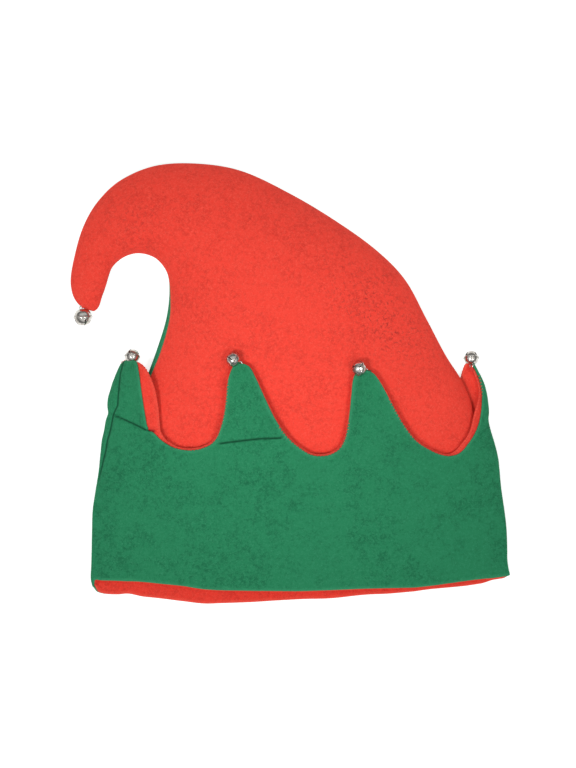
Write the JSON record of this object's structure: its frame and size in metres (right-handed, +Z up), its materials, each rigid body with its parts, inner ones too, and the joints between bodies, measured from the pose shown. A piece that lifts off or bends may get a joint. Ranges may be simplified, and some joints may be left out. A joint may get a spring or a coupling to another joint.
{
  "type": "elf hat",
  "caption": "Felt elf hat lying flat: hooked two-colour crown, pointed lined cuff, jingle bells at the tips, open mouth for a head.",
  "frame": {"origin": "on the surface that the hat lies on, under the middle of its bounding box", "axes": "+X across the hat towards its right side as it lies, +Y from the mouth to the top of the crown, +Z up from the surface, through the back of the hat to its front"},
  "size_m": [0.3152, 0.3178, 0.0445],
  "materials": {
    "felt_red": "soft red polyester felt, matt, with a fine fibrous nap",
    "felt_green": "soft green polyester felt, matt, with a fine fibrous nap",
    "bell_nickel": "nickel-plated stamped steel, bright with dull hollows"
  },
  "bodies": {
    "root": {"crown_front": "felt_red", "crown_back": "felt_green", "cuff_front": "felt_green", "cuff_back": "felt_green", "lining_front": "felt_red", "lining_back": "felt_red", "bell_left": "bell_nickel", "bell_left_ball": "bell_nickel", "bell_front_left": "bell_nickel", "bell_front_left_ball": "bell_nickel", "bell_front_right": "bell_nickel", "bell_front_right_ball": "bell_nickel", "bell_right": "bell_nickel", "bell_right_ball": "bell_nickel", "bell_back_left": "bell_nickel", "bell_back_left_ball": "bell_nickel", "bell_back_right": "bell_nickel", "bell_back_right_ball": "bell_nickel", "bell_crown": "bell_nickel", "bell_crown_ball": "bell_nickel"}
  },
  "joints": []
}
